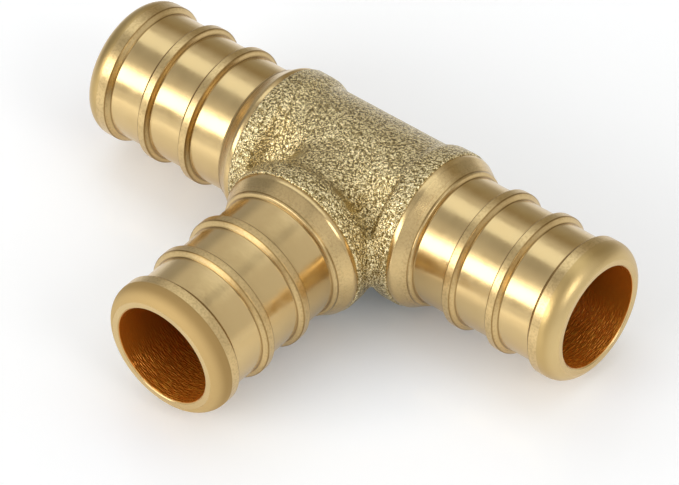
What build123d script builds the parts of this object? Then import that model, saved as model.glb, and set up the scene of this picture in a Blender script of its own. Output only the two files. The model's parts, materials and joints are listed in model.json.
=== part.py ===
from build123d import *
from math import radians, sin
import os

# Insert tee for 1/2 in crimp-ring tube: one forged brass body, turned on its three arms
# and drilled from its three ends. The origin is where the centre lines of the run and the
# branch cross. The run lies along X, the branch leaves along -Y, and +Z is up.
# All lengths are in millimetres. Lengths along an arm are counted from its end face.

# Forged body, from the crossing of the centre lines out to the turned length of each arm
body_reach = 8.3
barrel_diameter = 12.8
neck_diameter = 12.3
hub_diameter = 13.7
hub_lip = 0.12
hub_length = 1.5
hub_fall = 1.2

# Turned length of each arm
turned_length = 16.3

# Waterway, drilled along the run and along the branch
bore_diameter = 9.0
rim_break = 0.12

# Insert, the part of the turned length that goes into the tube
insert_length = 14.4
land_diameter = 11.2
rib_diameter = 12.2

# End rib: a nose that turns in from the crest to a flat rim, a short crest and a fall to
# the land. The nose turns by less than a right angle, which leaves an edge at the rim.
nose_radius = 1.6
nose_turn = 70
end_crest_back = 2.38
end_rib_fall = 0.34

# The other ribs: a slope towards the end face and a steeper back that holds the tube
rib_count = 2
first_rib = 6.0
rib_pitch = 4.38
rib_crest = 0.72
rib_rise = 0.38
rib_fall = 0.2

# Turned shoulder: a low step that stops the tube, then a slope up to a short crest
step_diameter = 11.9
step_rise = 0.3
step_band = 0.25
slope_length = 0.75
shoulder_diameter = 13.4

bore_radius = bore_diameter / 2
land_radius = land_diameter / 2
rib_radius = rib_diameter / 2
step_radius = step_diameter / 2
shoulder_radius = shoulder_diameter / 2
hub_radius = hub_diameter / 2

# Places along an arm, counted from its end face
centre_to_end = body_reach + turned_length
nose_depth = nose_radius * sin(radians(nose_turn))
step_top = insert_length + step_rise
slope_start = step_top + step_band
hub_start = turned_length + hub_lip
hub_back = hub_start + hub_length
waist_start = hub_back + hub_fall

# Outline of an arm from the nose back to its hub
arm_points = [
    (nose_depth, rib_radius),
    (end_crest_back, rib_radius),
    (end_crest_back + end_rib_fall, land_radius),
]
for rib in range(rib_count):
    crest_start = first_rib + rib * rib_pitch
    crest_end = crest_start + rib_crest
    arm_points.append((crest_start - rib_rise, land_radius))
    arm_points.append((crest_start, rib_radius))
    arm_points.append((crest_end, rib_radius))
    arm_points.append((crest_end + rib_fall, land_radius))
arm_points.append((insert_length, land_radius))
arm_points.append((step_top, step_radius))
arm_points.append((slope_start, step_radius))
arm_points.append((slope_start + slope_length, shoulder_radius))
arm_points.append((turned_length, shoulder_radius))
arm_points.append((hub_start, hub_radius))
arm_points.append((hub_back, hub_radius))

# Each arm: the way it leaves the crossing, and the forging's diameter behind its hub
arms = [
    (Vector(1, 0, 0), barrel_diameter),
    (Vector(-1, 0, 0), barrel_diameter),
    (Vector(0, -1, 0), neck_diameter),
]

with BuildPart() as tee_fitting:
    # The three arms, each a round body about its own centre line that reaches the crossing
    for direction, waist_diameter in arms:
        waist_radius = waist_diameter / 2
        arm_plane = Plane(
            origin=direction * centre_to_end,
            x_dir=-direction,
            z_dir=(-direction).cross(Vector(0, 0, 1)),
        )
        with BuildSketch(arm_plane):
            with BuildLine():
                nose = CenterArc((nose_depth, rib_radius - nose_radius), nose_radius, 90, nose_turn)
                outside = Polyline(*arm_points)
                Polyline(
                    outside @ 1,
                    (waist_start, waist_radius),
                    (centre_to_end, waist_radius),
                    (centre_to_end, 0),
                    (0, 0),
                    nose @ 1,
                )
            make_face()
        revolve(axis=Axis(arm_plane.origin, arm_plane.x_dir))

    # Waterway along the run
    with BuildSketch(Plane.YZ.offset(-centre_to_end)):
        Circle(bore_radius)
    extrude(amount=2 * centre_to_end, mode=Mode.SUBTRACT)

    # Waterway along the branch, down to the run
    with BuildSketch(Plane.XZ):
        Circle(bore_radius)
    extrude(amount=centre_to_end, mode=Mode.SUBTRACT)

    # Broken edge round each mouth
    circles = edges().filter_by(GeomType.CIRCLE)
    mouths = circles.filter_by(lambda edge: abs(edge.radius - bore_radius) < 0.001)
    chamfer(mouths, length=rim_break)

tee_fitting.part.label = "tee_fitting"
os.makedirs("parts", exist_ok=True)
export_step(tee_fitting.part, "parts/tee_fitting.step")
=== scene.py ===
import bpy
import bmesh
import json
import math
from mathutils import Matrix, Vector

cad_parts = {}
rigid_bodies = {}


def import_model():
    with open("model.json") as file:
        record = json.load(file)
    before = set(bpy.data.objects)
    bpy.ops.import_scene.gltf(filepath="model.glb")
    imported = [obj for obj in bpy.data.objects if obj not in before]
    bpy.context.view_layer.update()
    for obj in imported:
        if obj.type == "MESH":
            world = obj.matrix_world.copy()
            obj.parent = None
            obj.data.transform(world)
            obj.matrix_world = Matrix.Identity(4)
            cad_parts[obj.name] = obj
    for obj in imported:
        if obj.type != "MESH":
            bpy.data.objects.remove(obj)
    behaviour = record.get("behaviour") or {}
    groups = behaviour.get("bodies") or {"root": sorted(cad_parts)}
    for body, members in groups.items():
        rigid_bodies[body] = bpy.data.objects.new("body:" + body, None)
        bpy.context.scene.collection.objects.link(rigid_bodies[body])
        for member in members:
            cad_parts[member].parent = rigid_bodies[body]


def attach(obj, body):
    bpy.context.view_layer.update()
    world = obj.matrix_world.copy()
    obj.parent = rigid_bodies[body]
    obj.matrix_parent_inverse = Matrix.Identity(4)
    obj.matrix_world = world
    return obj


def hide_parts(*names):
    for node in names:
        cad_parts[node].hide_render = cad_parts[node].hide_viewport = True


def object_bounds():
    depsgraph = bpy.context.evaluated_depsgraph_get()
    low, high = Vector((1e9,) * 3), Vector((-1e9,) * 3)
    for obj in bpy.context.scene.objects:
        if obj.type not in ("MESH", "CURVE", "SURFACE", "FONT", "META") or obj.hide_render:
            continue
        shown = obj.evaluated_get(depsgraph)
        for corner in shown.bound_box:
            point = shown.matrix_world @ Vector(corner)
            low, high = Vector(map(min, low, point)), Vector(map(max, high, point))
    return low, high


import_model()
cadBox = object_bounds()
print("loaded the tee as a fixed frame")

mm = 0.001


def linearColour(hexText):
    # sRGB hex to the linear values that the shaders take
    parts = [int(hexText[i:i + 2], 16) / 255 for i in (0, 2, 4)]
    linear = [p / 12.92 if p <= 0.04045 else ((p + 0.055) / 1.055) ** 2.4 for p in parts]
    return (*linear, 1.0)


def addNode(tree, kind, settings=None, inputs=None):
    # inputs: socket name or number -> a value, or the output socket to link from
    node = tree.nodes.new(kind)
    for name, value in (settings or {}).items():
        setattr(node, name, value)
    for key, value in (inputs or {}).items():
        socket = node.inputs[key]
        if isinstance(value, bpy.types.NodeSocket):
            tree.links.new(value, socket)
        else:
            socket.default_value = value
    return node


def newMaterial(name):
    material = bpy.data.materials.new(name)
    material.use_nodes = True
    tree = material.node_tree
    tree.nodes.clear()
    return material, tree


def finishMaterial(tree, shader):
    addNode(tree, "ShaderNodeOutputMaterial", None, {"Surface": shader.outputs[0]})


def newObject(name, data):
    item = bpy.data.objects.new(name, data)
    bpy.context.scene.collection.objects.link(item)
    return item


turnedLook = {
    "colour": "dabf8a",          # freshly cut brass, warm straw yellow
    "dullColour": "cfb27c",
    "cornerShadeAndStainColour": "8a6a38",     # painted shade: thin dark lines in the corners and at the edges of the ribs and shoulder; also the colour of the dull marks on the ribs
    "cornerShadeReach": (0.01 * mm, 0.085 * mm),
    "cornerShadeShare": 0.85,
    "roughness": 0.18,
    "roughSpread": (-0.03, 0.06),
    "ribRoughness": 0.28,        # the ribs rub on each other in the tumbler
    "ribStain": 0.28,
    "shoulderRoughness": 0.21,   # the shoulders rub less, so they keep more of their shine
    "shoulderStain": 0.14,
    # how far out from a rib's foot each finish starts and ends
    "ribFade": 0.15 * mm,
    "stainFade": (0.10 * mm, 0.30 * mm),
    "shoulderFade": (0.50 * mm, 0.70 * mm),
    "stainGrain": 0.20 * mm,     # size of one dull mark on a rib
    "toolMarkPitch": 0.16 * mm,  # feed of the turning tool, drawn a little coarser to show
    "toolMarkDepth": 0.0012 * mm,
    "wave": 1.6 * mm,            # slow unevenness of the cut
    "waveDepth": 0.012 * mm,
    "waveLevels": (0.35, 0.65),  # where the unevenness turns from smooth to rough
    "stainLevels": (0.45, 0.65),
}

noseLook = {
    "rimColour": "d6bb84",       # flat rim round the mouth
    "crestColour": "c5a86f",     # the end ribs come out of the tumbler dull
    # painted shade: the branch's end rib is painted darker, as it gets less of the front light
    "branchShadeColour": "bda06a",
    "roughness": 0.36,
    "branchRoughness": 0.78,
    "branchFrom": (-8 * mm, -20 * mm),
    "rimReach": (0.2 * mm, 1.0 * mm),
    "grain": 0.13 * mm,          # size of one tumbling mark, drawn a little coarser to show
    "grainDepth": 0.012 * mm,
}

forgedLook = {
    "crestColour": "f9e8b8",     # blasted brass, greyer than the cut faces; the dimple crests are painted near white as painted highlight for the bright flecks
    "baseColour": "b19b66",
    # painted shade: the pits of the dimples are painted dark
    "pitShadeColour": "755f2f",
    "tintLevels": (0.33, 0.47, 0.58),
    "roughness": 0.21,
    "roughSpread": (-0.05, 0.08),
    "roughPatch": 2.6 * mm,
    "grain": 0.17 * mm,          # size of one peened dimple
    "grainDepth": 0.14 * mm,
}

boreLook = {
    "colour": "d98226",          # drilled wall: light that has bounced off brass many times
    "streakHighlightColour": "f0a236",    # painted highlight: a brighter orange where the torn edges catch the light
    "metal": 0.55,
    "roughness": 0.24,
    "streakWidth": 0.12 * mm,    # one mark of the drill's chatter
    "streakLength": 0.5 * mm,
    "streakDepth": 0.12 * mm,
    "paintedGlintLevels": (0.53, 0.63),
    "lowFrom": (-1.6 * mm, -3.8 * mm),
    "highShare": 0.10,           # how much of the streaks is left higher up
}


def alongArm(tree, position):
    # distance from the crossing along whichever arm the point is on
    split = addNode(tree, "ShaderNodeSeparateXYZ", None, {0: position})
    run = addNode(tree, "ShaderNodeMath", {"operation": "ABSOLUTE"}, {0: split.outputs["X"]})
    branch = addNode(tree, "ShaderNodeMath", {"operation": "MULTIPLY"}, {
        0: split.outputs["Y"], 1: -1.0})
    longest = addNode(tree, "ShaderNodeMath", {"operation": "MAXIMUM"}, {
        0: run.outputs[0], 1: branch.outputs[0]})
    return longest.outputs[0]


def fromAxes(tree, position):
    # distance from the nearer of the run's and the branch's centre lines
    gaps = []
    # the run's distance leaves out X. The branch's line only runs forwards, so its distance
    # leaves out Y there and keeps it behind the crossing; -1 m is under any X and Z here
    for operation, mask in (("MULTIPLY", (0, 1, 1)), ("MAXIMUM", (-1, 0, -1))):
        across = addNode(tree, "ShaderNodeVectorMath", {"operation": operation}, {
            0: position, 1: mask})
        gap = addNode(tree, "ShaderNodeVectorMath", {"operation": "LENGTH"}, {
            0: across.outputs[0]})
        gaps.append(gap.outputs["Value"])
    nearer = addNode(tree, "ShaderNodeMath", {"operation": "MINIMUM"}, {0: gaps[0], 1: gaps[1]})
    return nearer.outputs[0]


def turnedBrass(corners, ribFoot):
    # Turned brass: clean metal with fine tool marks round each arm, so highlights are bright and
    # long and waver a little. They stop at a thin dark line of painted shade at each foot and edge
    # of the ribs and shoulder.
    look = turnedLook
    material, tree = newMaterial("turnedBrass")
    place = addNode(tree, "ShaderNodeTexCoord").outputs["Object"]
    along = alongArm(tree, place)
    marks = addNode(tree, "ShaderNodeTexNoise", {"noise_dimensions": "1D"}, {
        "W": along, "Scale": 1 / look["toolMarkPitch"], "Detail": 2.0, "Roughness": 0.6})
    cloud = addNode(tree, "ShaderNodeTexNoise", None, {
        "Vector": place, "Scale": 1 / look["wave"], "Detail": 4.0, "Roughness": 0.55})
    tint = addNode(tree, "ShaderNodeMix", {"data_type": "RGBA"}, {
        0: cloud.outputs["Fac"], 6: linearColour(look["dullColour"]),
        7: linearColour(look["colour"])})
    nearest = 1.0                # m, further than any corner
    for corner in corners:
        gap = addNode(tree, "ShaderNodeMath", {"operation": "SUBTRACT"}, {0: along, 1: corner})
        away = addNode(tree, "ShaderNodeMath", {"operation": "ABSOLUTE"}, {0: gap.outputs[0]})
        nearest = addNode(tree, "ShaderNodeMath", {"operation": "MINIMUM"}, {
            0: away.outputs[0], 1: nearest}).outputs[0]
    # painted shade: the colour darkens close to each foot and edge, where shade falls
    cornerShade = addNode(tree, "ShaderNodeMapRange", {"interpolation_type": "SMOOTHSTEP"}, {
        "Value": nearest, "From Min": look["cornerShadeReach"][0], "From Max": look["cornerShadeReach"][1],
        "To Min": look["cornerShadeShare"], "To Max": 0.0})
    cornerShaded = addNode(tree, "ShaderNodeMix", {"data_type": "RGBA"}, {
        0: cornerShade.outputs[0], 6: tint.outputs[2], 7: linearColour(look["cornerShadeAndStainColour"])})
    cleanRough = addNode(tree, "ShaderNodeMapRange", None, {
        "Value": cloud.outputs["Fac"], "From Min": look["waveLevels"][0],
        "From Max": look["waveLevels"][1], "To Min": look["roughness"] + look["roughSpread"][0],
        "To Max": look["roughness"] + look["roughSpread"][1]})
    # further out come the ribs, rubbed and stained, and then the cleaner shoulders
    radius = fromAxes(tree, place)
    rubbed, dirty = (addNode(tree, "ShaderNodeMapRange", None, {
        "Value": radius, "From Min": ribFoot + look["shoulderFade"][0],
        "From Max": ribFoot + look["shoulderFade"][1],
        "To Min": look["rib" + key], "To Max": look["shoulder" + key]})
        for key in ("Roughness", "Stain"))
    rough = addNode(tree, "ShaderNodeMapRange", None, {
        "Value": radius, "From Min": ribFoot, "From Max": ribFoot + look["ribFade"],
        "To Min": cleanRough.outputs[0], "To Max": rubbed.outputs[0]})
    marred = addNode(tree, "ShaderNodeMapRange", None, {
        "Value": radius, "From Min": ribFoot + look["stainFade"][0],
        "From Max": ribFoot + look["stainFade"][1], "To Max": dirty.outputs[0]})
    blots = addNode(tree, "ShaderNodeTexNoise", None, {
        "Vector": place, "Scale": 1 / look["stainGrain"], "Detail": 2.0})
    blot = addNode(tree, "ShaderNodeMapRange", None, {
        "Value": blots.outputs["Fac"], "From Min": look["stainLevels"][0],
        "From Max": look["stainLevels"][1], "To Max": marred.outputs[0]})
    worked = addNode(tree, "ShaderNodeMix", {"data_type": "RGBA"}, {
        0: blot.outputs[0], 6: cornerShaded.outputs[2], 7: linearColour(look["cornerShadeAndStainColour"])})
    slow = addNode(tree, "ShaderNodeBump", None, {
        "Strength": 1.0, "Distance": look["waveDepth"], "Height": cloud.outputs["Fac"]})
    bump = addNode(tree, "ShaderNodeBump", None, {
        "Strength": 1.0, "Distance": look["toolMarkDepth"], "Height": marks.outputs["Fac"],
        "Normal": slow.outputs[0]})
    shader = addNode(tree, "ShaderNodeBsdfPrincipled", None, {
        "Base Color": worked.outputs[2], "Metallic": 1.0, "Roughness": rough.outputs[0],
        "Normal": bump.outputs[0]})
    finishMaterial(tree, shader)
    return material


def tumbledBrass(reach):
    # Tumbled brass: turned and then dulled by tumbling, so the end ribs have soft broad light and
    # no mirror edges. The colour is lighter towards the rim, and the branch's rib is the roughest
    # and is painted darker as painted shade.
    look = noseLook
    material, tree = newMaterial("tumbledBrass")
    place = addNode(tree, "ShaderNodeTexCoord").outputs["Object"]
    split = addNode(tree, "ShaderNodeSeparateXYZ", None, {0: place})
    onBranch = addNode(tree, "ShaderNodeMapRange", None, {
        "Value": split.outputs["Y"], "From Min": look["branchFrom"][0],
        "From Max": look["branchFrom"][1]})
    marks = addNode(tree, "ShaderNodeTexNoise", None, {
        "Vector": place, "Scale": 1 / look["grain"], "Detail": 2.0})
    fromRim = addNode(tree, "ShaderNodeMapRange", {"interpolation_type": "SMOOTHSTEP"}, {
        "Value": alongArm(tree, place), "From Min": reach - look["rimReach"][0],
        "From Max": reach - look["rimReach"][1]})
    crest = addNode(tree, "ShaderNodeMix", {"data_type": "RGBA"}, {
        0: onBranch.outputs[0], 6: linearColour(look["crestColour"]),
        7: linearColour(look["branchShadeColour"])})
    tint = addNode(tree, "ShaderNodeMix", {"data_type": "RGBA"}, {
        0: fromRim.outputs[0], 6: linearColour(look["rimColour"]), 7: crest.outputs[2]})
    rough = addNode(tree, "ShaderNodeMapRange", None, {
        "Value": onBranch.outputs[0], "To Min": look["roughness"],
        "To Max": look["branchRoughness"]})
    bump = addNode(tree, "ShaderNodeBump", None, {
        "Strength": 1.0, "Distance": look["grainDepth"], "Height": marks.outputs["Fac"]})
    shader = addNode(tree, "ShaderNodeBsdfPrincipled", None, {
        "Base Color": tint.outputs[2], "Metallic": 1.0,
        "Roughness": rough.outputs[0], "Normal": bump.outputs[0]})
    finishMaterial(tree, shader)
    return material


def forgedBrass():
    # Hot-forged and shot-blasted brass: peened all over, so it sparkles in small bright flecks on
    # dull olive, and has no long highlight. The flecks are partly painted: a near-white painted
    # highlight on the dimple crests and a dark painted shade in the pits. Trimmed places are
    # smoother.
    look = forgedLook
    material, tree = newMaterial("forgedBrass")
    place = addNode(tree, "ShaderNodeTexCoord").outputs["Object"]
    worn = addNode(tree, "ShaderNodeAttribute", {"attribute_name": "worn"})
    dimples = addNode(tree, "ShaderNodeTexNoise", None, {
        "Vector": place, "Scale": 1 / look["grain"], "Detail": 1.0,
        "Roughness": 0.4, "Distortion": 1.0})
    patches = addNode(tree, "ShaderNodeTexNoise", None, {
        "Vector": place, "Scale": 1 / look["roughPatch"], "Detail": 3.0})
    rise = addNode(tree, "ShaderNodeMix", {"data_type": "FLOAT"}, {
        0: worn.outputs["Fac"], 2: dimples.outputs["Fac"], 3: 0.5})
    # painted light: the ramp paints the pits dark as shade and the crests near white as highlight
    tint = addNode(tree, "ShaderNodeValToRGB", None, {"Fac": rise.outputs[0]})
    stops = tint.color_ramp.elements
    stops.new(0.5)
    shades = ("pitShadeColour", "baseColour", "crestColour")
    for stop, level, shade in zip(stops, look["tintLevels"], shades):
        stop.position = level
        stop.color = linearColour(look[shade])
    rough = addNode(tree, "ShaderNodeMapRange", None, {
        "Value": patches.outputs["Fac"], "To Min": look["roughness"] + look["roughSpread"][0],
        "To Max": look["roughness"] + look["roughSpread"][1]})
    bump = addNode(tree, "ShaderNodeBump", None, {
        "Strength": 1.0, "Distance": look["grainDepth"], "Height": rise.outputs[0]})
    shader = addNode(tree, "ShaderNodeBsdfPrincipled", None, {
        "Base Color": tint.outputs[0], "Metallic": 1.0, "Roughness": rough.outputs[0],
        "Normal": bump.outputs[0]})
    finishMaterial(tree, shader)
    return material


def drilledBrass():
    # Drilled brass: the wall of the waterway, torn into short streaks round it, most of all low
    # down, where the chips dragged; the streaks are painted brighter as painted highlight
    look = boreLook
    material, tree = newMaterial("drilledBrass")
    place = addNode(tree, "ShaderNodeTexCoord").outputs["Object"]
    around = addNode(tree, "ShaderNodeVectorMath", {"operation": "SCALE"}, {
        0: place, "Scale": 1 / look["streakLength"]})
    along = addNode(tree, "ShaderNodeMath", {"operation": "DIVIDE"}, {
        0: alongArm(tree, place), 1: look["streakWidth"]})
    streaks = addNode(tree, "ShaderNodeTexNoise", {"noise_dimensions": "4D"}, {
        "Vector": around.outputs[0], "W": along.outputs[0], "Scale": 1.0, "Detail": 1.0})
    split = addNode(tree, "ShaderNodeSeparateXYZ", None, {0: place})
    low = addNode(tree, "ShaderNodeMapRange", {"interpolation_type": "SMOOTHSTEP"}, {
        "Value": split.outputs["Z"], "From Min": look["lowFrom"][0],
        "From Max": look["lowFrom"][1], "To Min": look["highShare"]})
    height = addNode(tree, "ShaderNodeMath", {"operation": "MULTIPLY"}, {
        0: streaks.outputs["Fac"], 1: low.outputs[0]})
    # painted highlight: the tops of the streaks are painted a brighter orange
    paintedGlint = addNode(tree, "ShaderNodeMapRange", None, {
        "Value": streaks.outputs["Fac"], "From Min": look["paintedGlintLevels"][0],
        "From Max": look["paintedGlintLevels"][1], "To Max": low.outputs[0]})
    tint = addNode(tree, "ShaderNodeMix", {"data_type": "RGBA"}, {
        0: paintedGlint.outputs[0], 6: linearColour(look["colour"]),
        7: linearColour(look["streakHighlightColour"])})
    bump = addNode(tree, "ShaderNodeBump", None, {
        "Strength": 1.0, "Distance": look["streakDepth"], "Height": height.outputs[0]})
    shader = addNode(tree, "ShaderNodeBsdfPrincipled", None, {
        "Base Color": tint.outputs[2], "Metallic": look["metal"],
        "Roughness": look["roughness"], "Normal": bump.outputs[0]})
    finishMaterial(tree, shader)
    return material


armSizes = {                 # all lengths in mm, along an arm counted from its end face
    "reach": 24.6,           # crossing of the centre lines to the end face
    "boreRadius": 4.5,
    "rimBreak": 0.12,
    "landRadius": 5.6,
    "ribRadius": 6.1,
    "noseRadius": 1.6,
    "noseTurn": 70,          # degrees
    "noseSteps": 12,
    "noseFoot": 0.05,        # roundness where the nose meets the rim
    "dullLength": 1.6,       # how far in from the rim the tumbled finish reaches
    "endCrestBack": 2.38,
    "endRibFall": 0.34,
    "ribStarts": (6.0, 10.38),
    "ribCrest": 0.72,
    "ribRise": 0.30,
    "ribFall": 0.20,
    "insertLength": 14.4,
    "stepRadius": 5.95,
    "stepRise": 0.18,
    "stepBand": 0.16,
    "slopeLength": 1.15,
    "shoulderRadius": 6.7,
    "shoulderTilt": 0.02,    # rise of the narrow band before the slope
    "slopeFoot": 0.35,       # roundness below and above the slope
    "slopeTop": 0.7,
    "turnedLength": 16.3,
    "overlap": 0.5,          # how far the turned wall goes on inside the forging
    "landSag": 0.02,         # how far each land dips between its ribs
    "cutEdge": 0.14,         # roundness of the cut edges
    "cutFoot": 0.11,         # roundness left by the tool tip at the foot of a rib
    "mouthEdge": 0.03,
    "finishMargin": 0.04,    # how far off a wall its finish still counts
    "rimMargin": 0.02,
    "segments": 160,         # faces round an arm
}


def cornerPlaces(size):
    # where the feet and edges of the ribs and of the shoulder lie, from the crossing, in m
    places = [size["endCrestBack"], size["endCrestBack"] + size["endRibFall"]]
    for start in size["ribStarts"]:
        end = start + size["ribCrest"]
        places += [start - size["ribRise"], start, end, end + size["ribFall"]]
    places += [size["insertLength"], size["insertLength"] + size["stepRise"] + size["stepBand"]]
    return [(size["reach"] - place) * mm for place in places]


# from here outwards a face of an arm is a rib or a shoulder, and not a land
ribFoot = (armSizes["landRadius"] + armSizes["finishMargin"]) * mm
turned = turnedBrass(cornerPlaces(armSizes), ribFoot)
tumbled = tumbledBrass(armSizes["reach"] * mm)
forged = forgedBrass()
drilled = drilledBrass()
print("made the turned, tumbled, forged and drilled brass")


def roundedOutline(corners, steps=5, beside=0.03):
    # corners: (along, radius, roundness); each corner becomes a short arc that starts and
    # ends on the straight runs, and each run gets a point beside its arcs to keep it flat
    points = []
    count = len(corners)
    for i, (along, radius, roundness) in enumerate(corners):
        here = Vector((along, radius))
        before = Vector(corners[(i - 1) % count][:2]) - here
        after = Vector(corners[(i + 1) % count][:2]) - here
        if roundness <= 0 or before.length < 1e-9 or after.length < 1e-9:
            points.append(here)
            continue
        half = before.angle(after) / 2
        cut = min(roundness / math.tan(half), 0.49 * before.length, 0.49 * after.length)
        start = here + before.normalized() * cut
        end = here + after.normalized() * cut
        points.append(start + before.normalized() * beside)
        for step in range(steps + 1):
            t = step / steps
            points.append(start * (1 - t) ** 2 + here * 2 * t * (1 - t) + end * t * t)
        points.append(end + after.normalized() * beside)
    return points


def landPoints(start, end, radius, sag, count=9):
    # a land between two feet: the tool presses less near the ribs, so it dips in between
    shares = [step / count for step in range(1, count)]
    return [(start + (end - start) * t, radius - sag * math.sin(math.pi * t) ** 0.7, 0)
            for t in shares]


def armOutline(size):
    # closed outline of an arm's wall: mouth, nose, ribs, shoulder, then back along the bore
    edge, foot = size["cutEdge"], size["cutFoot"]
    land, crest = size["landRadius"], size["ribRadius"]
    nose, back = size["noseRadius"], size["endCrestBack"]
    corners = [(0, size["boreRadius"] + size["rimBreak"], size["mouthEdge"])]
    depth = nose * math.sin(math.radians(size["noseTurn"]))
    for step in range(size["noseSteps"] + 1):
        turn = math.radians(size["noseTurn"]) * (1 - step / size["noseSteps"])
        corners.append((depth - nose * math.sin(turn), crest - nose + nose * math.cos(turn),
                        size["noseFoot"] if step == 0 else 0))
    corners += [(back, crest, edge), (back + size["endRibFall"], land, foot)]
    for start in size["ribStarts"]:
        end = start + size["ribCrest"]
        corners += landPoints(corners[-1][0], start - size["ribRise"], land, size["landSag"])
        corners += [(start - size["ribRise"], land, foot), (start, crest, edge),
                    (end, crest, edge), (end + size["ribFall"], land, foot)]
    corners += landPoints(corners[-1][0], size["insertLength"], land, size["landSag"])
    stepTop = size["insertLength"] + size["stepRise"]
    slope = stepTop + size["stepBand"]
    wallEnd = size["turnedLength"] + size["overlap"]
    corners += [
        (size["insertLength"], land, foot),
        (stepTop, size["stepRadius"], edge),
        (slope, size["stepRadius"] + size["shoulderTilt"], size["slopeFoot"]),
        (slope + size["slopeLength"], size["shoulderRadius"], size["slopeTop"]),
        (wallEnd, size["shoulderRadius"], 0),
        (wallEnd, size["boreRadius"], 0),
        (size["rimBreak"], size["boreRadius"], size["mouthEdge"]),
    ]
    outline = roundedOutline(corners)
    return [Vector(((size["reach"] - p.x) * mm, 0, p.y * mm)) for p in outline]


def outlineObject(name, points):
    # a loop of edges that the lathe tree reads, with its first point repeated at the end
    mesh = bpy.data.meshes.new(name)
    loop = points + [points[0]]
    mesh.from_pydata([tuple(p) for p in loop], [(i, i + 1) for i in range(len(loop) - 1)], [])
    return newObject(name, mesh)


def newTree(name, inputs):
    # a geometry tree with its named inputs, and the sockets that give them inside it
    tree = bpy.data.node_groups.new(name, "GeometryNodeTree")
    for label, kind in {"Geometry": "Geometry", **inputs}.items():
        tree.interface.new_socket(label, in_out="INPUT", socket_type="NodeSocket" + kind)
    tree.interface.new_socket("Geometry", in_out="OUTPUT", socket_type="NodeSocketGeometry")
    return tree, addNode(tree, "NodeGroupInput").outputs


def latheTree():
    # turns an outline (along X, radius Z) into an arm and sets one on each way out
    tree, given = newTree("turnArms", {
        "Segments": "Int", "Bore Edge": "Float", "End Rib": "Float", "Rim": "Float",
        "Turned": "Material", "Tumbled": "Material", "Drilled": "Material"})
    size = addNode(tree, "GeometryNodeAttributeDomainSize", {"component": "MESH"}, {
        0: given["Geometry"]})
    # a grid with a row for each point of the outline, and a column for each turn
    around = addNode(tree, "FunctionNodeIntegerMath", {"operation": "ADD"}, {
        0: given["Segments"], 1: 1}).outputs[0]
    grid = addNode(tree, "GeometryNodeMeshGrid", None, {
        "Vertices X": size.outputs["Point Count"], "Vertices Y": around})
    index = addNode(tree, "GeometryNodeInputIndex").outputs[0]
    row = addNode(tree, "FunctionNodeIntegerMath", {"operation": "DIVIDE_FLOOR"}, {
        0: index, 1: around})
    column = addNode(tree, "FunctionNodeIntegerMath", {"operation": "MODULO"}, {
        0: index, 1: around})
    turn = addNode(tree, "ShaderNodeMapRange", None, {
        "Value": column.outputs[0], "From Max": given["Segments"], "To Max": 2 * math.pi})
    place = addNode(tree, "GeometryNodeInputPosition").outputs[0]
    taken = addNode(tree, "GeometryNodeSampleIndex", {"data_type": "FLOAT_VECTOR"}, {
        "Geometry": given["Geometry"], "Value": place, "Index": row.outputs[0]})
    ring = addNode(tree, "ShaderNodeVectorRotate", {"rotation_type": "X_AXIS"}, {
        "Vector": taken.outputs[0], "Angle": turn.outputs[0]})
    lathed = addNode(tree, "GeometryNodeSetPosition", None, {
        "Geometry": grid.outputs["Mesh"], "Position": ring.outputs[0]})
    # the last column lies on the first, and merging them closes the arm
    closed = addNode(tree, "GeometryNodeMergeByDistance", None, {
        "Geometry": lathed.outputs[0], "Distance": 0.0005 * mm})
    smooth = addNode(tree, "GeometryNodeSetShadeSmooth", None, {"Geometry": closed.outputs[0]})
    arms = addNode(tree, "GeometryNodeJoinGeometry")
    for angle in (0, math.pi, -math.pi / 2):        # right, left, branch
        arm = addNode(tree, "GeometryNodeTransform", None, {
            "Geometry": smooth.outputs[0], "Rotation": (0, 0, angle)})
        tree.links.new(arm.outputs[0], arms.inputs[0])
    real = addNode(tree, "GeometryNodeRealizeInstances", None, {0: arms.outputs[0]})
    # the wall of the bore is whatever lies no further out than the bore from either axis
    inside = addNode(tree, "FunctionNodeCompare", {"operation": "LESS_THAN"}, {
        0: fromAxes(tree, place), 1: given["Bore Edge"]})
    ahead = alongArm(tree, place)
    behindRim = addNode(tree, "FunctionNodeCompare", {"operation": "LESS_THAN"}, {
        0: ahead, 1: given["Rim"]})
    pastCrest = addNode(tree, "FunctionNodeCompare", {"operation": "GREATER_THAN"}, {
        0: ahead, 1: given["End Rib"]})
    endRib = addNode(tree, "FunctionNodeBooleanMath", {"operation": "AND"}, {
        0: pastCrest.outputs[0], 1: behindRim.outputs[0]})
    faces = addNode(tree, "GeometryNodeSetMaterial", None, {
        "Geometry": real.outputs[0], "Material": given["Turned"]})
    for chosen, finish in ((endRib, "Tumbled"), (inside, "Drilled")):
        faces = addNode(tree, "GeometryNodeSetMaterial", None, {
            "Geometry": faces.outputs[0], "Selection": chosen.outputs[0],
            "Material": given[finish]})
    addNode(tree, "NodeGroupOutput", None, {0: faces.outputs[0]})
    return tree


def inputKey(tree, name):
    for item in tree.interface.items_tree:
        if item.item_type == "SOCKET" and item.in_out == "INPUT" and item.name == name:
            return item.identifier
    raise KeyError(name)


def addTree(holder, tree, values):
    # values: name of an input -> what it gets, set by the socket's own identifier
    modifier = holder.modifiers.new(tree.name, "NODES")
    modifier.node_group = tree
    for name, value in values.items():
        modifier[inputKey(tree, name)] = value


def asPlainMesh(holder, name):
    # the evaluated shape as a plain mesh of its own; the holder goes
    bpy.context.view_layer.update()
    evaluated = holder.evaluated_get(bpy.context.evaluated_depsgraph_get())
    mesh = bpy.data.meshes.new_from_object(evaluated)
    mesh.name = name
    piece = newObject(name, mesh)
    bpy.data.objects.remove(holder)
    return piece


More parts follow.
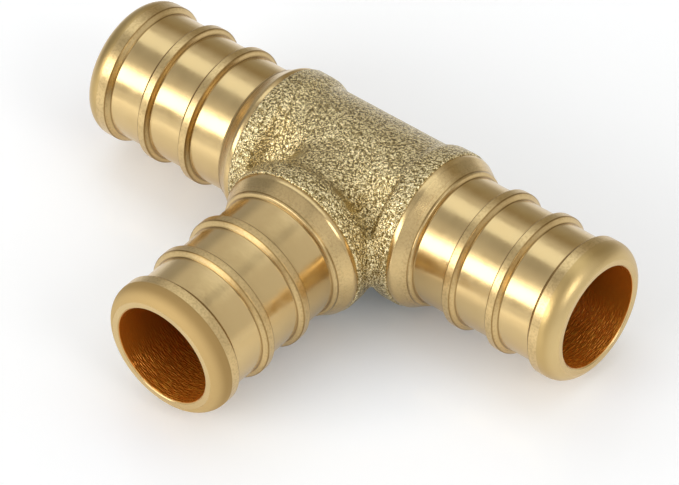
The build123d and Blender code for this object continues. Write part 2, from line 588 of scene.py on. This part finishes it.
def facesOutward(piece):
    work = bmesh.new()
    work.from_mesh(piece.data)
    bmesh.ops.recalc_face_normals(work, faces=work.faces)
    work.to_mesh(piece.data)
    work.free()


armHolder = outlineObject("armOutline", armOutline(armSizes))
addTree(armHolder, latheTree(), {
    "Segments": armSizes["segments"],
    "Bore Edge": (armSizes["boreRadius"] + armSizes["finishMargin"]) * mm,
    "End Rib": (armSizes["reach"] - armSizes["dullLength"]) * mm,
    "Rim": (armSizes["reach"] - armSizes["rimMargin"]) * mm,
    "Turned": turned, "Tumbled": tumbled, "Drilled": drilled})
turnedArms = asPlainMesh(armHolder, "turnedArms")
facesOutward(turnedArms)
print("turned the three arms:", len(turnedArms.data.polygons), "faces")


bodySizes = {                # all lengths in mm, counted from the crossing
    "reach": 8.3,            # crossing to the edge of the turned length
    "hubRadius": 6.84,
    "lip": 0.12,
    "lipDrop": 0.20,         # how much lower the lip starts
    "lipMiddle": (0.4, 0.06),    # share of the lip's length, and how low it is there
    "hubLength": 1.5,
    "hubFall": 1.2,
    "hubSteps": 8,
    "barrelRadius": 6.4,
    "neckRadius": 6.15,
    "boreRadius": 4.53,      # just behind the wall of the turned arms
    "drillPast": 2.0,
    "voxel": 0.14,
    "skin": 0.35,            # thickness of what counts as the wall of the bore
    "grain": 0.34,           # spacing of the deeper dents of the blasting
    "grainHeight": 0.03,
    "softSteps": 10,         # how far the forging's inner corners are softened
    "softFrom": 0.35,        # counted from the turned length: sharp before it,
    "softTo": 1.3,           # and fully softened after it
    # flats left by the dies in the corners beside the branch:
    # way it faces, distance from the crossing, least and most x
    "flats": (((-0.10, -0.70, 0.70), 6.27, -6.6, -2.9), ((0.10, -0.70, 0.70), 6.33, 4.0, 6.6)),
    "flatFade": 0.6,
    "flatFront": -6.3,       # y at which the flats stop
    # fold lines of the forging: two ends, width, depth
    "folds": (((3.87, -3.60, 5.29), (6.17, -3.88, 5.41), 0.15, 0.06),
              ((6.95, -4.30, 5.31), (6.75, -5.10, 4.50), 0.15, 0.035),
              ((-6.95, -4.00, 5.45), (-6.25, -4.90, 4.50), 0.30, 0.10)),
    "foldReach": 3,          # widths
    # places rubbed smooth when the flash was trimmed: middle and size
    "worn": (((-3.4, -4.8, 5.0), 1.1), ((-2.4, -4.6, 5.6), 1.0),
             ((3.0, -6.1, 5.7), 0.8), ((4.2, -6.2, 5.0), 0.8)),
    "wornSlope": 1.6,        # how steeply a worn place fades at its edge
}


def latheMesh(name, outline, alongBranch, segments=128):
    # outline: (along, radius) from one end to the other, both ends on the centre line
    work = bmesh.new()
    rings = []
    for along, radius in outline:
        if radius == 0:
            rings.append([work.verts.new((along * mm, 0, 0))])
            continue
        rings.append([work.verts.new((
            along * mm,
            radius * mm * math.cos(2 * math.pi * s / segments),
            radius * mm * math.sin(2 * math.pi * s / segments))) for s in range(segments)])
    for first, second in zip(rings, rings[1:]):
        for s in range(segments):
            n = (s + 1) % segments
            face = [first[s % len(first)], first[n % len(first)],
                    second[n % len(second)], second[s % len(second)]]
            # a ring that is one point on the centre line gives triangles
            work.faces.new(list(dict.fromkeys(face)))
    if alongBranch:
        bmesh.ops.rotate(work, verts=work.verts, cent=(0, 0, 0),
                         matrix=Matrix.Rotation(-math.pi / 2, 3, "Z"))
    bmesh.ops.recalc_face_normals(work, faces=work.faces)
    mesh = bpy.data.meshes.new(name)
    work.to_mesh(mesh)
    work.free()
    return newObject(name, mesh)


def hubOutline(size, waist):
    # from the edge of the turned length inwards: lip, hub ring and the sweep to the waist
    reach, hub, lip = size["reach"], size["hubRadius"], size["lip"]
    share, drop = size["lipMiddle"]
    outline = [(reach, 0), (reach, hub - size["lipDrop"]),
               (reach - lip * share, hub - drop), (reach - lip, hub)]
    back = reach - lip - size["hubLength"]
    for step in range(size["hubSteps"] + 1):
        t = step / size["hubSteps"]
        ease = t * t * (3 - 2 * t)
        outline.append((back - size["hubFall"] * t, hub + (waist - hub) * ease))
    return outline


def forgedTree():
    # softens the creases of the forging and peens its outside
    tree, given = newTree("peenForging", {
        "Soft Steps": "Int", "Soft From": "Float", "Soft To": "Float",
        "Dents per Metre": "Float", "Height": "Float", "Wall": "Float",
        "Forged": "Material", "Drilled": "Material"})
    place = addNode(tree, "GeometryNodeInputPosition").outputs[0]
    # 0 near the turned lengths, 1 a millimetre further in
    free = addNode(tree, "ShaderNodeMapRange", None, {
        "Value": alongArm(tree, place), "From Min": given["Soft From"],
        "From Max": given["Soft To"]})
    soft = addNode(tree, "GeometryNodeBlurAttribute", {"data_type": "FLOAT_VECTOR"}, {
        "Value": place, "Iterations": given["Soft Steps"], "Weight": free.outputs[0]})
    eased = addNode(tree, "GeometryNodeSetPosition", None, {
        "Geometry": given["Geometry"], "Position": soft.outputs[0]})
    noise = addNode(tree, "ShaderNodeTexNoise", None, {
        "Vector": place, "Scale": given["Dents per Metre"], "Detail": 1.0, "Roughness": 0.5})
    # few peaks pass 0.62, so nearly all of the grain goes into the metal
    height = addNode(tree, "ShaderNodeMapRange", {"clamp": False}, {
        "Value": noise.outputs["Fac"], "From Min": 0.62, "From Max": 1.62,
        "To Max": given["Height"]})
    outside = addNode(tree, "FunctionNodeCompare", {"operation": "GREATER_THAN"}, {
        0: fromAxes(tree, place), 1: given["Wall"]})
    normal = addNode(tree, "GeometryNodeInputNormal").outputs[0]
    push = addNode(tree, "ShaderNodeVectorMath", {"operation": "SCALE"}, {
        0: normal, "Scale": height.outputs[0]})
    peened = addNode(tree, "GeometryNodeSetPosition", None, {
        "Geometry": eased.outputs[0], "Selection": outside.outputs[0], "Offset": push.outputs[0]})
    smooth = addNode(tree, "GeometryNodeSetShadeSmooth", None, {"Geometry": peened.outputs[0]})
    real = addNode(tree, "GeometryNodeRealizeInstances", None, {0: smooth.outputs[0]})
    walls = addNode(tree, "GeometryNodeSetMaterial", None, {
        "Geometry": real.outputs[0], "Material": given["Drilled"]})
    skin = addNode(tree, "GeometryNodeSetMaterial", None, {
        "Geometry": walls.outputs[0], "Selection": outside.outputs[0], "Material": given["Forged"]})
    addNode(tree, "NodeGroupOutput", None, {0: skin.outputs[0]})
    return tree


def cutWith(holder, other, operation):
    modifier = holder.modifiers.new(operation.lower(), "BOOLEAN")
    modifier.operation = operation
    modifier.solver = "EXACT"
    modifier.object = other


def toShare(value):
    return min(1.0, max(0.0, value))


def trimBody(piece, size):
    # presses the flats and folds into the forging, and marks its smooth places
    flats = [(Vector(way).normalized(), reach * mm, low * mm, high * mm)
             for way, reach, low, high in size["flats"]]
    folds = [(Vector(a) * mm, Vector(b) * mm, width * mm, depth * mm)
             for a, b, width, depth in size["folds"]]
    spots = [(Vector(middle) * mm, radius * mm) for middle, radius in size["worn"]]
    worn = piece.data.attributes.new("worn", "FLOAT", "POINT")
    for vertex in piece.data.vertices:
        place = vertex.co.copy()
        if place.y > 0 or place.z < 0:
            continue
        for way, reach, low, high in flats:
            over = place.dot(way) - reach
            inward = min(place.x - low, high - place.x) / (size["flatFade"] * mm)
            if over > 0 and place.y > size["flatFront"] * mm:
                place -= way * over * toShare(inward)
        for start, end, width, depth in folds:
            run = end - start
            share = toShare((place - start).dot(run) / run.length_squared)
            gap = (place - (start + run * share)).length
            if gap < size["foldReach"] * width:
                place -= vertex.normal * depth * math.exp(-(gap / width) ** 2)
        vertex.co = place
        worn.data[vertex.index].value = max(
            toShare(size["wornSlope"] * (1 - (place - middle).length / radius))
            for middle, radius in spots)


def forgedBody(size):
    # barrel, hubs and neck joined, drilled through, and meshed evenly for the grain
    runSide = hubOutline(size, size["barrelRadius"])
    run = latheMesh("forgedRun", runSide + [(-a, r) for a, r in reversed(runSide)], False)
    branchSide = hubOutline(size, size["neckRadius"])
    branch = latheMesh("forgedBranch", branchSide + [(0, size["neckRadius"]), (0, 0)], True)
    bore, past = size["boreRadius"], size["reach"] + size["drillPast"]
    runDrill = latheMesh("runDrill", [(past, 0), (past, bore), (-past, bore), (-past, 0)], False)
    branchDrill = latheMesh("branchDrill", [(past, 0), (past, bore), (0, bore), (0, 0)], True)
    cutWith(run, branch, "UNION")
    cutWith(run, runDrill, "DIFFERENCE")
    cutWith(run, branchDrill, "DIFFERENCE")
    remesh = run.modifiers.new("even", "REMESH")
    remesh.mode = "VOXEL"
    remesh.voxel_size = size["voxel"] * mm
    addTree(run, forgedTree(), {
        "Soft Steps": size["softSteps"], "Soft From": (size["reach"] - size["softFrom"]) * mm,
        "Soft To": (size["reach"] - size["softTo"]) * mm,
        "Dents per Metre": 1 / (size["grain"] * mm),
        "Height": size["grainHeight"] * mm, "Wall": (bore + size["skin"]) * mm,
        "Forged": forged, "Drilled": drilled})
    piece = asPlainMesh(run, "forgedBody")
    trimBody(piece, size)
    for tool in (branch, runDrill, branchDrill):
        bpy.data.objects.remove(tool)
    return piece


body = forgedBody(bodySizes)
print("forged the body:", len(body.data.polygons), "faces")

for piece in (turnedArms, body):
    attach(piece, "root")
    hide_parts("tee_fitting")


floorLook = {                    # lengths in m
    "colour": "f1f1f1",
    "farShadeColour": "c6c6c6",       # painted shade: the sheet is painted grey behind the tee, out of the view, so the metal mirrors a dimmer floor there
    "farShadeFrom": (0.0335, 0.10),
    # own light below the tee, in front of it and behind it; the camera and the metal see it
    "glow": (0.07, 0.185, 0.24),
    "glowColour": "a6d2ff",      # below the tee: takes back the brown that the brass throws there
    "glowMiddle": (0.003, -0.005),
    "glowReach": (0.003, 0.018),
    "glowSlope": (-0.024, 0.026),
    "roughness": 0.12,
    "ior": 1.25,                 # mirrors the fitting only faintly
    "half": 1.0,
}


def paleFloor(turn):
    # Painted sheet with a thin satin coat: white, with a soft shadow and a faint mirror image.
    # turn: the way that counts as behind the tee
    look = floorLook
    material, tree = newMaterial("satinPaintedSheet")
    place = addNode(tree, "ShaderNodeTexCoord").outputs["Object"]
    away = addNode(tree, "ShaderNodeVectorMath", {"operation": "DOT_PRODUCT"}, {
        0: place, 1: (-math.sin(turn), math.cos(turn), 0)})
    # painted shade: the floor darkens behind the tee
    farShade = addNode(tree, "ShaderNodeMapRange", {"interpolation_type": "SMOOTHSTEP"}, {
        "Value": away.outputs["Value"], "From Min": look["farShadeFrom"][0],
        "From Max": look["farShadeFrom"][1]})
    tint = addNode(tree, "ShaderNodeMix", {"data_type": "RGBA"}, {
        0: farShade.outputs[0], 6: linearColour(look["colour"]), 7: linearColour(look["farShadeColour"])})
    fullGlow = addNode(tree, "ShaderNodeMapRange", None, {
        "Value": away.outputs["Value"], "From Min": look["glowSlope"][0],
        "From Max": look["glowSlope"][1], "To Min": look["glow"][1], "To Max": look["glow"][2]})
    aside = addNode(tree, "ShaderNodeVectorMath", {"operation": "DISTANCE"}, {
        0: place, 1: (*look["glowMiddle"], cadBox[0][2])})
    glow = addNode(tree, "ShaderNodeMapRange", {"interpolation_type": "SMOOTHSTEP"}, {
        "Value": aside.outputs["Value"], "From Min": look["glowReach"][0],
        "From Max": look["glowReach"][1], "To Min": look["glow"][0],
        "To Max": fullGlow.outputs[0]})
    clear = addNode(tree, "ShaderNodeMapRange", None, {
        "Value": aside.outputs["Value"], "From Min": look["glowReach"][0],
        "From Max": look["glowReach"][1]})
    glowTint = addNode(tree, "ShaderNodeMix", {"data_type": "RGBA"}, {
        0: clear.outputs[0], 6: linearColour(look["glowColour"]), 7: tint.outputs[2]})
    path = addNode(tree, "ShaderNodeLightPath")
    seen = path.outputs["Is Camera Ray"]
    for ray in ("Is Glossy Ray", "Is Transmission Ray"):
        seen = addNode(tree, "ShaderNodeMath", {"operation": "MAXIMUM"}, {
            0: seen, 1: path.outputs[ray]}).outputs[0]
    strength = addNode(tree, "ShaderNodeMath", {"operation": "MULTIPLY"}, {
        0: seen, 1: glow.outputs[0]})
    paint = addNode(tree, "ShaderNodeBsdfPrincipled", None, {
        "Base Color": tint.outputs[2], "Roughness": look["roughness"], "IOR": look["ior"],
        "Emission Color": glowTint.outputs[2], "Emission Strength": strength.outputs[0]})
    finishMaterial(tree, paint)
    return material


def makeFloor(turn):
    low, half = cadBox[0][2], floorLook["half"]
    mesh = bpy.data.meshes.new("floor")
    corners = [(half, half, low), (-half, half, low), (-half, -half, low), (half, -half, low)]
    mesh.from_pydata(corners, [], [(0, 1, 2, 3)])
    mesh.materials.append(paleFloor(turn))
    newObject("floor", mesh)


facePower = 4.0                  # W from each square metre of a lamp's face at level 1

lamps = {                        # m; level 1 is a lamp's face as bright as white paper
    "topPanel": {"place": (-0.06, 0.13, 0.50), "target": (-0.06, 0.13, 0),
                 "wide": 0.80, "high": 0.27, "level": 0.58, "colour": "e8f4ff"},
    "frontBox": {"place": (-0.24, -0.62, 0.285), "target": (0, 0, 0.02),
                 "wide": 0.62, "high": 0.28, "level": 2.9, "colour": "ffffff"},
    "frontGlow": {"place": (-0.22, -0.56, 0.47), "target": (0, 0, 0.02),
                  "wide": 0.62, "high": 0.12, "level": 0.7, "colour": "ffffff"},
    "rightLamp": {"place": (0.62, -0.10, 0.45), "target": (0, 0, 0),
                  "wide": 0.30, "high": 0.30, "level": 2.7, "colour": "ffffff"},
}


def makeLamps():
    for name, size in lamps.items():
        lamp = bpy.data.lights.new(name, "AREA")
        lamp.color = linearColour(size["colour"])[:3]
        lamp.shape = "RECTANGLE"
        lamp.size, lamp.size_y = size["wide"], size["high"]
        lamp.energy = facePower * size["level"] * size["wide"] * size["high"]
        holder = newObject(name, lamp)
        holder.location = size["place"]
        ahead = Vector(size["target"]) - Vector(size["place"])
        holder.rotation_euler = ahead.to_track_quat("-Z", "Y").to_euler()


roomLook = {
    # how bright the room is, from its front (-Y) over its middle to its back (+Y), where
    # a warm grey wall gives the backs of the arms their darker band
    "Y": ((0.0, "e4e4e4"), (0.26, "e4e4e4"), (0.36, "c4c4c4"), (0.46, "c4c4c4"),
          (0.52, "dedede"), (0.77, "e4e4e4"), (0.81, "c6c3bd"), (0.865, "a3967e"),
          (0.92, "b0a996"), (0.945, "bab6ad"), (1.0, "bbb9b4")),
    # and how much of that is left from its left wall (-X) to its right one
    "X": ((0.0, "cbcbcb"), (0.11, "cbcbcb"), (0.18, "f9f9f9"), (0.30, "f7f7f7"),
          (0.55, "f7f7f7"), (0.57, "e1e1e1"), (0.65, "e1e1e1"), (0.67, "ffffff")),
}


def makeRoom():
    world = bpy.data.worlds.new("paleRoom")
    bpy.context.scene.world = world
    world.use_nodes = True
    tree = world.node_tree
    tree.nodes.clear()
    way = addNode(tree, "ShaderNodeTexCoord")
    split = addNode(tree, "ShaderNodeSeparateXYZ", None, {0: way.outputs["Generated"]})
    shades = {}
    for axis, levels in roomLook.items():
        share = addNode(tree, "ShaderNodeMapRange", None, {
            "Value": split.outputs[axis], "From Min": -1.0})
        ramp = addNode(tree, "ShaderNodeValToRGB", None, {"Fac": share.outputs[0]})
        stops = ramp.color_ramp.elements
        while len(stops) < len(levels):
            stops.new(0.5)
        for stop, (position, colour) in zip(stops, levels):
            stop.position = position
            stop.color = linearColour(colour)
        shades[axis] = ramp.outputs["Color"]
    sky = addNode(tree, "ShaderNodeBackground", None, {
        "Color": shades["Y"], "Strength": shades["X"]})
    addNode(tree, "ShaderNodeOutputWorld", None, {"Surface": sky.outputs[0]})


cameraSizes = {
    "azimuth": 41.1,         # degrees from the front (-Y) towards the right (+X)
    "height": 43.4,          # degrees above the floor
    "roll": -2.3,
    "distance": 505.0,       # mm
    "lens": 329.8,           # mm
    "sensor": 36,            # mm
    "nearest": 10.0,         # mm, where the view begins
    "aimAcross": -1.6,       # mm from the crossing, to the right in the view
    "aimUp": -4.5,           # mm from the crossing, up in the view
}


def makeCamera(size):
    turn, rise, roll = (math.radians(size[key]) for key in ("azimuth", "height", "roll"))
    back = Vector((math.sin(turn) * math.cos(rise), -math.cos(turn) * math.cos(rise),
                   math.sin(rise)))
    level = (-back).cross(Vector((0, 0, 1))).normalized()
    upright = level.cross(-back)
    right = level * math.cos(roll) + upright * math.sin(roll)
    up = upright * math.cos(roll) - level * math.sin(roll)
    place = back * size["distance"] * mm
    aim = right * size["aimAcross"] * mm + up * size["aimUp"] * mm
    look = (place - aim).normalized()
    right = up.cross(look).normalized()
    up = look.cross(right)
    camera = bpy.data.cameras.new("camera")
    camera.lens = size["lens"]
    camera.sensor_width = size["sensor"]
    camera.clip_start = size["nearest"] * mm
    holder = newObject("camera", camera)
    holder.matrix_world = Matrix((
        (right.x, up.x, look.x, place.x),
        (right.y, up.y, look.y, place.y),
        (right.z, up.z, look.z, place.z),
        (0, 0, 0, 1)))
    bpy.context.scene.camera = holder


makeFloor(math.radians(cameraSizes["azimuth"]))
makeRoom()
makeLamps()
makeCamera(cameraSizes)
bpy.context.scene.view_settings.view_transform = "Standard"
print("set the floor, the lamps and the camera")
